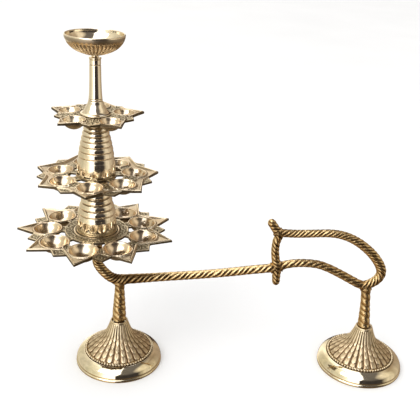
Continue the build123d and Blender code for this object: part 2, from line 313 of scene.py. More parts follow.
def make_tent():
    """Light tent seen only in the brass: a white window at left, a dark room, tan walls at right and behind.

    The panels are bands of the tent's x coordinate, so their edges run from the front up over the lamp.
    The dark room narrows overhead. Low down, everything darkens to the brown of a table.
    """
    n = Nodes("light_tent")
    apart = n.node("ShaderNodeSeparateXYZ")
    n.link(n.where(), apart.inputs[0])
    across, depth, height = (n.math("DIVIDE", axis, TENT_RADIUS * MM) for axis in apart.outputs)
    rise = n.ramp(height, (0.30, 0.0), (0.70, 1.0))
    window = panel_ramp(
        n, n.math("SUBTRACT", across, n.math("MULTIPLY", rise, 0.20)),
        (-1.3, (0.26, 0.24, 0.185)), (-0.97, (0.34, 0.32, 0.25)), (-0.72, (0.50, 0.475, 0.39)),
        (-0.50, (0.90, 0.885, 0.84)), (-0.115, (1.0, 1.0, 1.0)), (-0.085, (0.022, 0.019, 0.018)),
    )
    wall = panel_ramp(
        n, n.math("ADD", across, n.math("MULTIPLY", rise, 0.28)),
        (0.78, (0.0, 0.0, 0.0)), (0.87, (0.20, 0.175, 0.13)), (0.95, (0.38, 0.34, 0.26)),
        (1.2, (0.40, 0.35, 0.26)),
    )
    overhead = n.math("MULTIPLY", rise, 0.06)
    front = n.blend("ADD", overhead, n.blend("ADD", 1.0, window, wall), (1.0, 0.92, 0.82))
    behind = panel_ramp(
        n, across,
        (-1.0, (0.32, 0.295, 0.235)), (-0.55, (0.36, 0.33, 0.26)), (-0.30, (0.66, 0.61, 0.52)),
        (-0.04, (0.48, 0.44, 0.37)), (0.06, (0.035, 0.024, 0.018)), (0.27, (0.035, 0.024, 0.018)),
        (0.38, (0.23, 0.175, 0.12)), (0.72, (0.17, 0.13, 0.09)), (1.0, (0.32, 0.275, 0.205)),
    )
    back = n.ramp(depth, (0.0, 0.0), (0.14, 1.0))
    low = n.ramp(height, (0.62, 1.0), (0.82, 0.0))
    walls = n.blend("MIX", n.math("MULTIPLY", back, low), front, behind)
    streaks = n.ramp(n.noise(1, 4, n.stretched((1.3, 1.3, 0.16))), (0.38, 0.80), (0.60, 1.0))
    walls = n.blend("MULTIPLY", 1.0, walls, streaks)
    down = n.ramp(n.math("MULTIPLY", height, -1.0), (0.30, 0.0), (0.58, 1.0))
    table = n.blend("MULTIPLY", 0.8, (0.28, 0.19, 0.10), walls)
    light = n.blend("MIX", down, walls, table)
    glow = n.node("ShaderNodeEmission")
    glow.inputs["Strength"].default_value = 2.4
    n.link(light, glow.inputs["Color"])
    n.link(glow.outputs[0], n.output.inputs["Surface"])
    sides, rings = 48, 24
    tilt = np.linspace(-pi / 2 + 0.02, pi / 2 - 0.02, rings + 1)
    spin = np.linspace(0, 2 * pi, sides, endpoint=False)
    reach, up = np.cos(tilt)[:, None] * TENT_RADIUS, np.sin(tilt)[:, None] * TENT_RADIUS
    vertices = np.stack([reach * np.sin(spin), -reach * np.cos(spin), up + 0 * spin], -1).reshape(-1, 3)
    tent = new_mesh("light_tent", vertices, grid_faces(rings + 1, sides), n.material)
    for ray in ("camera", "diffuse", "shadow", "transmission"):
        setattr(tent, "visible_" + ray, False)


def make_lights():
    """Even white surroundings and one soft key light from the front left."""
    world = bpy.data.worlds.new("studio")
    bpy.context.scene.world = world
    world.use_nodes = True
    background = world.node_tree.nodes["Background"]
    background.inputs["Color"].default_value = (1, 1, 1, 1)
    background.inputs["Strength"].default_value = 1.06
    data = bpy.data.lights.new("key", "AREA")
    data.shape = "RECTANGLE"
    data.size, data.size_y = 0.8, 0.8
    data.energy = 9
    key = bpy.data.objects.new("key", data)
    bpy.context.collection.objects.link(key)
    key.location = (-0.9, -0.9, 1.4)
    target = Vector((0, 0, 0.15))
    key.rotation_euler = (target - key.location).to_track_quat("-Z", "Y").to_euler()
    bpy.context.scene.view_settings.view_transform = "Standard"


# ------------------------------------------------------------------ mesh helpers

def new_mesh(name, vertices, faces, material):
    """Smooth-shaded object from vertices in millimetres."""
    mesh = bpy.data.meshes.new(name)
    mesh.from_pydata([tuple(v) for v in np.asarray(vertices) * MM], [], faces)
    mesh.update()
    mesh.polygons.foreach_set("use_smooth", [True] * len(mesh.polygons))
    thing = bpy.data.objects.new(name, mesh)
    bpy.context.collection.objects.link(thing)
    mesh.materials.append(material)
    return thing


def grid_faces(rows, columns, close_rows=False, close_columns=True):
    """Quads of a rows by columns grid of vertices, closed on itself in one or both ways."""
    faces = []
    for i in range(rows if close_rows else rows - 1):
        j = (i + 1) % rows
        for k in range(columns if close_columns else columns - 1):
            m = (k + 1) % columns
            faces.append((i * columns + k, i * columns + m, j * columns + m, j * columns + k))
    return faces


def set_attribute(thing, name, values):
    layer = thing.data.attributes.new(name, "FLOAT", "POINT")
    layer.data.foreach_set("value", np.asarray(values, dtype=np.float32))


def attach(thing, body, slot, *nodes):
    """Puts a piece on its moving body, in place of its CAD nodes; the slot is not used."""
    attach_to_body(thing, body)
    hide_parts(*nodes)


def curve_through(points, spacing):
    """Points every spacing or so along a smooth curve through the given ones (Catmull-Rom)."""
    p = np.asarray(points, float)
    p = np.vstack([2 * p[0] - p[1], p, 2 * p[-1] - p[-2]])
    out = []
    for a, b, c, d in zip(p, p[1:], p[2:], p[3:]):
        steps = max(2, int(np.linalg.norm(c - b) / spacing))
        t = np.linspace(0, 1, steps, endpoint=False)[:, None]
        square, cube = 2 * a - 5 * b + 4 * c - d, 3 * b - a - 3 * c + d
        out.append(0.5 * (2 * b + (c - a) * t + square * t**2 + cube * t**3))
    out.append(p[-2][None])
    return np.vstack(out)


def even(points, spacing, closed=False):
    """The same line with points at an even spacing."""
    p = np.asarray(points, float)
    if closed:
        p = np.vstack([p, p[:1]])
    along = np.concatenate([[0], np.cumsum(np.linalg.norm(np.diff(p, axis=0), axis=1))])
    count = max(3, int(round(along[-1] / spacing)))
    at = np.linspace(0, along[-1], count + 1)
    if closed:
        at = at[:-1]
    return np.column_stack([np.interp(at, along, p[:, i]) for i in range(p.shape[1])])


def soften(points, passes, closed=False):
    """Rounds a dense line's corners a little."""
    p = np.array(points, float)
    for _ in range(passes):
        if closed:
            p = 0.25 * np.roll(p, 1, 0) + 0.5 * p + 0.25 * np.roll(p, -1, 0)
        else:
            p[1:-1] = 0.25 * p[:-2] + 0.5 * p[1:-1] + 0.25 * p[2:]
    return p


def outward(profile):
    """Unit vectors away from the solid, for a closed profile whose outer side runs upwards."""
    along = np.roll(profile, -1, 0) - np.roll(profile, 1, 0)
    along /= np.linalg.norm(along, axis=1)[:, None]
    return np.column_stack([along[:, 1], -along[:, 0]])


def hollows(profile, passes=14, depth=0.22):
    """Relief of a closed profile: 1 on its swells, down to 0 where it lies in a groove."""
    sunk = ((soften(profile, passes, closed=True) - profile) * outward(profile)).sum(1)
    return np.clip(1 - sunk / depth, 0, 1)


def turned(node, body, profile, sides):
    """Polished piece turned about the column's axis, from a closed line of (radius, z) points."""
    turn = np.linspace(0, 2 * pi, sides, endpoint=False)
    r, z = profile[:, 0][:, None], profile[:, 1][:, None]
    vertices = np.stack([COLUMN_X + r * np.cos(turn), r * np.sin(turn), z + 0 * turn], -1).reshape(-1, 3)
    faces = grid_faces(len(profile), sides, close_rows=True)
    piece = new_mesh(node + "_turned", vertices, faces, POLISHED)
    # grooves get low relief, so they are painted dark: painted shade, partly polishing paste
    set_attribute(piece, "relief", np.repeat(hollows(profile), sides))
    attach(piece, body, "polished_brass", node)


# ------------------------------------------------------------------ columns and bowl

def cut_grooves(profile, grooves):
    """Profile with round grooves of (z, depth, width) turned into it."""
    p = profile.copy()
    for z, depth, width in grooves:
        p[:, 0] -= depth * np.exp(-(((p[:, 1] - z) / width) ** 2))
    return p


def beehive(node, top_radius, bottom_radius, band, ribs, curve):
    """Ribbed spacer: a plain band, a low shoulder above a step, then ribs, each lower and narrower."""
    low, high = bottom_z(node), top_z(node)
    band_top = low + band
    start = band_top + 3.8
    shoulder = bottom_radius - 1.7
    outer = [(bottom_radius - 0.5, low), (bottom_radius - 0.05, low + 0.5), (bottom_radius - 0.1, low + 3)]
    outer += [(bottom_radius - 0.85, band_top - 0.7), (bottom_radius - 0.95, band_top - 0.1)]
    outer += [(bottom_radius - 1.25, band_top + 0.35), (bottom_radius - 1.3, band_top + 1.2)]
    outer += [(shoulder + 0.05, start - 0.7), (shoulder - 0.1, start - 0.3)]
    joints = []
    for i in range(ribs + 1):
        share = i / ribs * (1 + 0.2 * (1 - i / ribs))
        radius = top_radius + (shoulder - top_radius) * (1 - share**curve)
        joints.append((radius, start + (high - start) * share))
    for (wide, z), (narrow, z_next) in zip(joints, joints[1:]):
        pitch = z_next - z
        outer += [
            (wide - 0.85, z + pitch * 0.02),
            (wide - 0.22, z + pitch * 0.08),
            (wide + 0.10, z + pitch * 0.20),
            (wide + 0.06, z + pitch * 0.36),
            (0.5 * wide + 0.5 * narrow + 0.12, z + pitch * 0.66),
            (narrow + 0.08, z + pitch * 0.90),
            (narrow - 0.45, z + pitch * 0.97),
        ]
    outer.append((top_radius - 0.9, high))
    inner = [(ROD_HOLE, high), (ROD_HOLE, high - 4), (top_radius - 4, high - 4), (bottom_radius - 2.2, low)]
    profile = soften(even(outer + inner, 0.26, closed=True), 1, closed=True)
    turned(node, "stand", profile, 160)


def slim_column():
    """Bell-footed shaft with turned grooves, hollow for the tie rod below and the bowl's stud above."""
    low, high = bottom_z("upper_column"), top_z("upper_column")
    bell = curve_through(
        [(12.3, low + 1.9), (10.6, low + 3.6), (9.0, low + 6.6), (7.4, low + 9.4), (6.5, low + 12.2)], 0.3
    )
    shaft = curve_through([(6.2, low + 14.0), (5.7, low + 19), (5.3, low + 30), (5.0, high - 1.9)], 0.4)
    outer = [(ROD_HOLE, low), (13.4, low), (13.9, low + 0.6), (13.6, low + 1.5), *bell, *shaft]
    outer += [(5.4, high - 1.5), (5.4, high - 0.3), (5.0, high)]
    inner = [(2.05, high), (2.05, high - 9), (0.02, high - 9), (0.02, low + 12.6), (ROD_HOLE, low + 12.6)]
    profile = soften(even(outer + inner, 0.25, closed=True), 2, closed=True)
    outside = profile[:, 0] > 4.2
    grooved = cut_grooves(
        profile, [(low + 12.6, 0.55, 0.35), (low + 14.1, 0.4, 0.3), (high - 6.6, 0.35, 0.3)]
    )
    profile[outside] = grooved[outside]
    profile[:, 0] = np.maximum(profile[:, 0], 0.02)
    turned("upper_column", "upper_column", profile, 128)


def fluted_bowl():
    """Polished bowl with forty flutes under a plain lip, on a short thin neck with its stud."""
    high, low = top_z("top_cup"), bottom_z("top_cup")
    neck = high - 19.8
    under = curve_through(
        [(5.5, high - 18.1), (10.6, high - 16.6), (16.6, high - 14.1), (20.8, high - 11.2),
         (24.0, high - 7.6), (25.8, high - 3.6), (26.3, high - 0.7)], 0.4
    )
    inside = curve_through(
        [(25.1, high - 0.15), (24.3, high - 4.0), (20.8, high - 9.0), (13.4, high - 13.4),
         (4, high - 15.5), (0.02, high - 15.6)], 0.4
    )
    profile = [(0.02, low), (2.0, low), (2.0, neck), (3.4, neck), (2.8, neck + 0.8), (2.8, neck + 1.5)]
    profile += [*under, (26.0, high), *inside]
    profile = soften(even(profile, 0.35), 1)
    sides, flutes = 360, 40
    turn = np.linspace(0, 2 * pi, sides, endpoint=False)
    r, z = profile[:, 0][:, None], profile[:, 1][:, None]
    peak = np.argmax(profile[:, 0])
    below = (np.arange(len(profile)) < peak)[:, None]
    arch = 0.5 + 0.5 * np.cos(flutes * turn)
    start = high - 4.6 - 1.3 * (1 - arch)
    share = np.clip((start - z) / 0.9, 0, 1) * np.clip((r - 4.2) / 3.0, 0, 1) * below
    crest = np.abs(np.cos(flutes * turn / 2)) ** 0.75
    cut = 1.05 * share * (1 - crest) * np.clip(r / 18, 0.35, 1)
    vertices = np.stack(
        [COLUMN_X + (r - cut) * np.cos(turn), (r - cut) * np.sin(turn), z + 0.8 * cut + 0 * turn], -1
    ).reshape(-1, 3)
    faces = grid_faces(len(profile), sides)
    faces.append(tuple(range(sides - 1, -1, -1)))
    faces.append(tuple((len(profile) - 1) * sides + k for k in range(sides)))
    piece = new_mesh("top_cup_fluted", vertices, faces, POLISHED)
    # painted shade: the plain band below the lip and the flute valleys are painted darker
    plain_band = below * np.clip((z - start) / 0.8, 0, 1) * np.clip((high - 0.7 - z) / 0.5, 0, 1)
    tone = 0.66 * plain_band + 0.95 * share * (1 - crest) ** 0.8
    set_attribute(piece, "relief", np.clip(1 - tone, 0, 1).ravel())
    attach(piece, "top_cup", "polished_brass", "top_cup")


def collar():
    """Turned collar that flares up to the bottom tier's hub."""
    low, high = bottom_z("hub_collar"), top_z("hub_collar")
    swell = curve_through([(6.8, low + 2.2), (7.6, low + 3.6), (10.2, low + 6.6), (14.4, high - 3.3)], 0.3)
    outer = [(ROD_HOLE, low), (6.2, low), (6.8, low + 1.0), (6.4, low + 1.6), *swell]
    outer += [(15.8, high - 2.9), (16.0, high - 2.2), (16.0, high - 0.3), (15.7, high), (ROD_HOLE, high)]
    profile = soften(even(outer, 0.25, closed=True), 2, closed=True)
    turned("hub_collar", "stand", profile, 128)


# ------------------------------------------------------------------ tiers

def scatter(column, row, first, second):
    """Scattered values from 0 to 1, one for each cell and the same in every run."""
    return np.modf(np.abs(np.sin(column * first + row * second) * 437.58))[0]


def scrolls(x, y):
    """Chased scrollwork: small spirals round scattered centres, from 0 in the cuts to 1 on the curls."""
    cell = 5.6
    column, row = np.floor(x / cell), np.floor(y / cell)
    nearest, spiral = np.full(x.shape, 1e9), np.zeros_like(x)
    for i in (-1, 0, 1):
        for j in (-1, 0, 1):
            a, b = column + i, row + j
            right, back = scatter(a, b, 12.99, 78.23), scatter(a, b, 39.35, 11.14)
            dx, dy = x - (a + 0.2 + 0.6 * right) * cell, y - (b + 0.2 + 0.6 * back) * cell
            away = np.hypot(dx, dy)
            closer = away < nearest
            nearest[closer] = away[closer]
            turn = np.arctan2(dy, dx) * np.where(right > 0.5, 1, -1)
            spiral[closer] = (away * 2.5 + turn)[closer]
    return 0.5 + 0.5 * np.cos(spiral)


def wedge_inside(u, v, tip, shoulder, half_width):
    """Distance inside a spout's two straight edges, for points u along and v across it."""
    slope = half_width / (tip - shoulder)
    return ((tip - u) * slope - np.abs(v)) / sqrt(1 + slope**2)


def engraving(x, y, edge):
    """Height, relief and polish of the chased plate and its plain border."""
    scroll = scrolls(x, y)
    border = np.clip(1.25 - np.abs(edge - 0.75) / 0.75, 0, 1)
    height = 0.46 * (scroll - 0.6) * np.clip((edge - 1.1) / 0.5, 0, 1) + 0.42 * border
    return height, np.maximum(np.clip(0.05 + 0.80 * scroll, 0, 1), border), 0.5 * border


class Tier:
    """Shape of one cast tier, in millimetres from the column's axis, with its plate's top at zero.

    The lamps point along the angles. The outline runs from each tip in to a valley, out to a small leaf
    and back to the next valley. The well radius and depth are those of the hollows for the oil. The gap is
    (inner radius, outer radius, width of the spokes). The foot and the seat are radii round the column.
    """

    def __init__(self, angles, tip, valley, leaf, lamp_circle, well, depth, gap, foot, seat=0):
        self.angles, self.tip, self.valley, self.leaf = angles, tip, valley, leaf
        self.lamp_circle, self.well, self.gap, self.foot, self.seat = lamp_circle, well, gap, foot, seat
        self.rim, self.wall, self.plate = 0.8, 1.3, 1.6
        # a well is part of a ball centred above the rim, and the lamp's radius takes in its wall
        self.ball = (well**2 + depth**2) / (2 * depth)
        self.rise = self.ball - depth
        self.lamp = sqrt((self.ball + self.wall) ** 2 - self.rise**2)
        self.pairs = list(zip(angles, angles[1:] + [angles[0] + 360]))

    def outline(self):
        points = []
        for angle, after in self.pairs:
            step = (after - angle) * 0.29
            for radius, turn in (
                (self.tip, angle), (self.valley, angle + step), (self.leaf, (angle + after) / 2),
                (self.valley, after - step),
            ):
                points.append((radius * cos(radians(turn)), radius * sin(radians(turn))))
        return points

    def gaps(self):
        """Outlines of the holes between the hub disc and two neighbouring lamps."""
        if not self.gap:
            return []
        start, end, spoke = self.gap
        reach = self.lamp + 0.4
        holes = []
        for angle, after in self.pairs:
            inner, outer = [], []
            for turn in np.linspace(angle + 1, after - 1, 60):
                near, far = start, end
                for lamp in (angle, after):
                    away = abs(radians(turn - lamp))
                    near = max(near, spoke / 2 / sin(away))
                    across = self.lamp_circle * sin(away)
                    if across < reach:
                        far = min(far, self.lamp_circle * cos(away) - sqrt(reach**2 - across**2))
                if far > near + 0.05:
                    spot = (cos(radians(turn)), sin(radians(turn)))
                    inner.append((near * spot[0], near * spot[1]))
                    outer.append((far * spot[0], far * spot[1]))
            holes.append(inner + outer[::-1])
        return holes

    def local(self, x, y):
        """Distances along and across the nearest lamp's axis, from the lamp's centre."""
        turn = np.degrees(np.arctan2(y, x))
        best = np.full(x.shape, 1e9)
        u, v = np.zeros_like(x), np.zeros_like(x)
        for angle in self.angles:
            a = radians(angle)
            along, across = x * cos(a) + y * sin(a) - self.lamp_circle, -x * sin(a) + y * cos(a)
            off = np.abs((turn - angle + 180) % 360 - 180)
            closer = off < best
            best[closer], u[closer], v[closer] = off[closer], along[closer], across[closer]
        return u, v

    def spout(self, u, v, inside):
        """Height, relief and polish of a spout: raised edges round a channel that deepens to the well."""
        lip = np.clip(1.3 - np.abs(inside - 1.15) / 0.95, 0, 1)
        channel = np.clip((inside - 1.9) / 0.9, 0, 1)
        run = np.clip((u - self.lamp) / (self.tip - self.lamp_circle - self.lamp), 0, 1)
        streak = 0.5 + 0.5 * np.sin(4.2 * v + 0.8 * np.sin(1.3 * u))
        floor_z = self.rim - 0.45 - 1.45 * (1 - run) ** 1.5 + 0.10 * streak
        height = (self.rim + 0.2) * lip + (1 - lip) * ((1 - channel) * 0.3 + channel * floor_z)
        relief = np.clip(0.42 + 0.58 * lip + 0.30 * (streak - 0.5) * channel, 0, 1)
        return height, relief, np.clip(0.15 + 0.75 * lip + 0.45 * channel, 0, 1)

    def rim_and_well(self, u, out, inside):
        """Height, relief and polish of a well and its round rim, lower where the channel runs in."""
        rim_middle, rim_half = (self.well + self.lamp) / 2, (self.lamp - self.well) / 2
        ring = np.clip(1 - np.abs(out - rim_middle) / (rim_half + 0.35), 0, 1)
        notch = np.clip((inside - 2.2) / 1.5, 0, 1) * (u > 0)
        rim_top = self.rim + 0.32 * np.sqrt(ring) - 0.75 * notch
        bowl = self.rim + self.rise - np.sqrt(np.maximum(self.ball**2 - out**2, 0))
        return np.where(out < self.well, np.minimum(bowl, rim_top), rim_top), 1.0, 1.0

    def underside(self, out):
        """Height of the underside: flat, with a round belly under each well."""
        belly_radius = self.ball + self.wall
        belly = self.rim + self.rise - np.sqrt(np.maximum(belly_radius**2 - out**2, 0))
        return np.where(out < self.lamp, np.minimum(belly, -self.plate), -self.plate)

    def surface(self, x, y, edge):
        """Top height, underside height, relief and polish at points whose distance to an edge is known."""
        u, v = self.local(x, y)
        out, r = np.hypot(u, v), np.hypot(x, y)
        half = self.valley * sin(radians(360 / len(self.angles) * 0.28))
        inside = wedge_inside(u, v, self.tip - self.lamp_circle, self.valley - self.lamp_circle, half)
        on_spout = (inside > 0) & (u > 0) & (out > self.lamp - 0.9)
        clear = out > self.lamp + 0.2
        layers = engraving(x, y, edge)
        coverings = (on_spout, self.spout(u, v, inside)), (~clear, self.rim_and_well(u, out, inside))
        for area, covering in coverings:
            layers = [np.where(area, new, old) for new, old in zip(covering, layers)]
        top, relief, polish = layers
        if self.gap:
            # raised edge of the hub disc
            hub_edge = np.clip(1.3 - np.abs(r - (self.gap[0] - 1.0)) / 0.8, 0, 1) * (r < self.gap[0]) * clear
            top = top + 0.30 * hub_edge
            relief = np.maximum(relief, hub_edge)
        if self.seat:
            # turned seat round the column's foot
            step = np.clip(1.4 - np.abs(r - self.seat) / 0.8, 0, 1) * clear
            groove = np.clip(1 - np.abs(np.abs(r - self.seat) - 1.5) / 0.5, 0, 1) * clear
            top = top * (1 - step) + 0.65 * step - 0.3 * groove
            relief = np.clip(np.maximum(relief, step) - 0.9 * groove, 0, 1)
            polish = np.maximum(polish, 0.8 * step)
        # flat, just below the plate's top, where the column's foot stands
        top = np.where(r < self.foot + 0.3, np.minimum(top, -0.04), top)
        return top, self.underside(out), relief, polish


def densify(points, spacing):
    """Closed outline with more points on its straight edges, a little over spacing apart."""
    out = []
    for a, b in zip(points, points[1:] + points[:1]):
        steps = max(1, int(hypot(b[0] - a[0], b[1] - a[1]) / spacing))
        for i in range(steps):
            t = i / steps
            out.append((a[0] + (b[0] - a[0]) * t, a[1] + (b[1] - a[1]) * t))
    return out


def distance_to(loops, x, y):
    """Distance from each point to the nearest edge of the closed outlines."""
    best = np.full(x.shape, 1e9)
    for loop in loops:
        for (ax, ay), (bx, by) in zip(loop, loop[1:] + loop[:1]):
            length = (bx - ax) ** 2 + (by - ay) ** 2
            t = np.clip(((x - ax) * (bx - ax) + (y - ay) * (by - ay)) / max(length, 1e-9), 0, 1)
            best = np.minimum(best, np.hypot(x - ax - t * (bx - ax), y - ay - t * (by - ay)))
    return best


def contains(loop, x, y):
    """True for points inside a closed outline."""
    inside = np.zeros(x.shape, bool)
    for (ax, ay), (bx, by) in zip(loop, loop[1:] + loop[:1]):
        if ay == by:
            continue
        crosses = (ay > y) != (by > y)
        inside ^= crosses & (x < (bx - ax) * (y - ay) / (by - ay) + ax)
    return inside


def in_plate(loops, x, y):
    """True for points inside the first outline and in none of the holes that follow it."""
    outline, *holes = loops
    kept = contains(outline, x, y)
    for hole in holes:
        kept &= ~contains(hole, x, y)
    return kept


def loose_points(tier, loops, spacing):
    """Points for the plate's mesh: a hexagonal grid between the lamps, and rings round every well."""
    span = tier.tip + 1
    rows, columns = np.arange(-span, span, spacing * 0.87), np.arange(-span, span, spacing)
    grid = np.array([(x + (i % 2) * spacing / 2, y) for i, y in enumerate(rows) for x in columns])
    u, v = tier.local(grid[:, 0], grid[:, 1])
    grid = grid[np.hypot(u, v) > tier.lamp + 0.5]
    rings = []
    radii = [*np.linspace(0.6, tier.well - 0.9, 14), tier.well - 0.4, tier.well - 0.02, tier.well + 0.25,
             (tier.well + tier.lamp) / 2, tier.lamp - 0.25, tier.lamp + 0.18, tier.lamp + 0.24]
    for angle in tier.angles:
        cx, cy = tier.lamp_circle * cos(radians(angle)), tier.lamp_circle * sin(radians(angle))
        for i, radius in enumerate(radii):
            count = max(8, int(2 * pi * radius / 0.9))
            turn = np.linspace(0, 2 * pi, count, endpoint=False) + 0.1 * i
            rings.append(np.column_stack([cx + radius * np.cos(turn), cy + radius * np.sin(turn)]))
    loose = np.vstack([grid, *rings])
    loose = loose[in_plate(loops, loose[:, 0], loose[:, 1])]
    return loose[distance_to(loops, loose[:, 0], loose[:, 1]) > spacing * 0.45]


def cast_tier(node, tier):
    """Triangulated plate whose top and underside follow the tier's surfaces, with dark walls between; the
    dark of the walls and of the underside is painted shade.
    """
    spacing = 0.56
    turns = np.linspace(0, 2 * pi, 40, endpoint=False)
    rod_hole = [(ROD_HOLE * cos(t), ROD_HOLE * sin(t)) for t in turns]
    loops = [tier.outline(), rod_hole, *tier.gaps()]
    points, edges = [], []
    for outline in loops:
        loop = densify(outline, spacing)
        first = len(points)
        points += loop
        edges += [(first + i, first + (i + 1) % len(loop)) for i in range(len(loop))]
    points += [tuple(p) for p in loose_points(tier, loops, spacing)]
    made = delaunay_2d_cdt([Vector(p) for p in points], edges, [], 1, 1e-5)
    flat = np.array([tuple(p) for p in made[0]])
    centres = np.array([flat[list(face)].mean(0) for face in made[2]])
    solid = in_plate(loops, centres[:, 0], centres[:, 1])
    faces = [tuple(face) for face, ok in zip(made[2], solid) if ok]
    edge = distance_to(loops, flat[:, 0], flat[:, 1])
    top, under, relief, polish = tier.surface(flat[:, 0], flat[:, 1], edge)
    count = len(flat)
    plate = top_z(node) - tier.rim
    upper = np.column_stack([flat[:, 0] + COLUMN_X, flat[:, 1], top + plate])
    lower = np.column_stack([flat[:, 0] + COLUMN_X, flat[:, 1], under + plate])
    sides = {(a, b) for face in faces for a, b in zip(face, face[1:] + face[:1])}
    rim = [(a, b) for a, b in sides if (b, a) not in sides]
    rim_points = sorted({a for a, b in rim})
    wall_of = {a: 2 * count + i for i, a in enumerate(rim_points)}
    wall_count = len(rim_points)
    walls = [(wall_of[b], wall_of[a], wall_of[a] + wall_count, wall_of[b] + wall_count) for a, b in rim]
    faces_all = faces + [(c + count, b + count, a + count) for a, b, c in faces] + walls
    vertices = np.vstack([upper, lower, upper[rim_points], lower[rim_points]])
    piece = new_mesh(node + "_cast", vertices, faces_all, CAST)
    # painted shade: the walls and the underside get low relief, so they render dark brown
    dark = np.full(2 * wall_count, 0.16)
    set_attribute(piece, "relief", np.concatenate([relief, np.full(count, 0.30), dark]))
    set_attribute(piece, "polish", np.concatenate([polish, np.full(count, 0.10), 0 * dark]))
    attach(piece, node, "cast_brass", node)


# ------------------------------------------------------------------ rope-pattern handle

def web(distance, offset, fillet):
    """Extra half width of a limb where it runs into another, whose surface lies at the offset.

    It is a quarter-round fillet outside that surface and fades to nothing inside it.
    """
    run = np.clip((distance - offset) / fillet, 0, 1)
    return fillet * (1 - np.sqrt(1 - (1 - run) ** 2)) * np.clip(distance / offset, 0, 1)


def rope_limb(node, route, radii, strands, spacing, depth, front, caps=(False, False), webs=(None, None),
              shade=(), contrast=1.3):
    """Tube along a route in the upright plane, with slanting strands that are deepest on its two faces.

    radii are (share of the length, radius); webs are (offset, fillet) at the start and end; shade lists
    (share of the length, reach in mm, strength) of painted shade, partly dark patina, in the corners;
    contrast is how dark the patina between the strands is.
    """
    line = even(curve_through(route, 0.5), 0.32)
    along = np.concatenate([[0], np.cumsum(np.linalg.norm(np.diff(line, axis=0), axis=1))])
    share = along / along[-1]
    radius = np.interp(share, *zip(*radii))
    tangent = np.gradient(line, axis=0)
    tangent /= np.linalg.norm(tangent, axis=1)[:, None]
    normal = np.column_stack([-tangent[:, 1], tangent[:, 0]])
    closing, wide, calm = np.ones(len(along)), np.zeros(len(along)), np.ones(len(along))
    for cap, corner, distance in zip(caps, webs, (along, along[-1] - along)):
        if cap:
            closing *= np.sqrt(1 - (1 - np.clip(distance / radius, 0.03, 1)) ** 2)
        if corner:
            more = web(distance, *corner)
            wide += more
            calm *= 1 - 0.7 * more / corner[1]
    turn = np.linspace(0, 2 * pi, 64, endpoint=False)
    wobble = 0.75 * np.sin(along / 7.3)[:, None] + 0.55 * np.sin(along / 3.1 + 2)[:, None]
    uneven = 0.80 + 0.20 * np.sin(along / 4.7 + 1) * np.sin(along / 1.9)
    phase = strands * turn[None, :] - 2 * pi * along[:, None] / spacing + wobble
    strand = np.abs(np.cos(phase / 2)) ** 0.8
    face = (1 - front) + front * np.abs(np.sin(turn))[None, :] ** 1.4
    cut = depth * face * (1 - strand) * (closing * calm * uneven)[:, None]
    reach = (radius * closing)[:, None] - cut
    across = (reach + wide[:, None]) * np.cos(turn)
    x = line[:, 0][:, None] + across * normal[:, 0][:, None]
    z = line[:, 1][:, None] + across * normal[:, 1][:, None]
    vertices = np.stack([x + COLUMN_X, reach * np.sin(turn), z], -1).reshape(-1, 3)
    faces = grid_faces(len(line), len(turn))
    faces.append(tuple(range(len(turn) - 1, -1, -1)))
    faces.append(tuple((len(line) - 1) * len(turn) + k for k in range(len(turn))))
    piece = new_mesh(node + "_rope", vertices, faces, ANTIQUE)
    relief = 1 - contrast * (1 - strand) * face * (calm**0.5 * (1.6 * uneven - 0.35))[:, None]
    # painted shade: darker colour near the corners where a limb meets another or its socket
    for place_share, reach_mm, strength in shade:
        relief = relief - strength * np.exp(-(((along - place_share * along[-1]) / reach_mm) ** 2))[:, None]
    set_attribute(piece, "relief", np.clip(relief, 0.03, 1).ravel())
    attach(piece, "stand", "antique_brass", node)


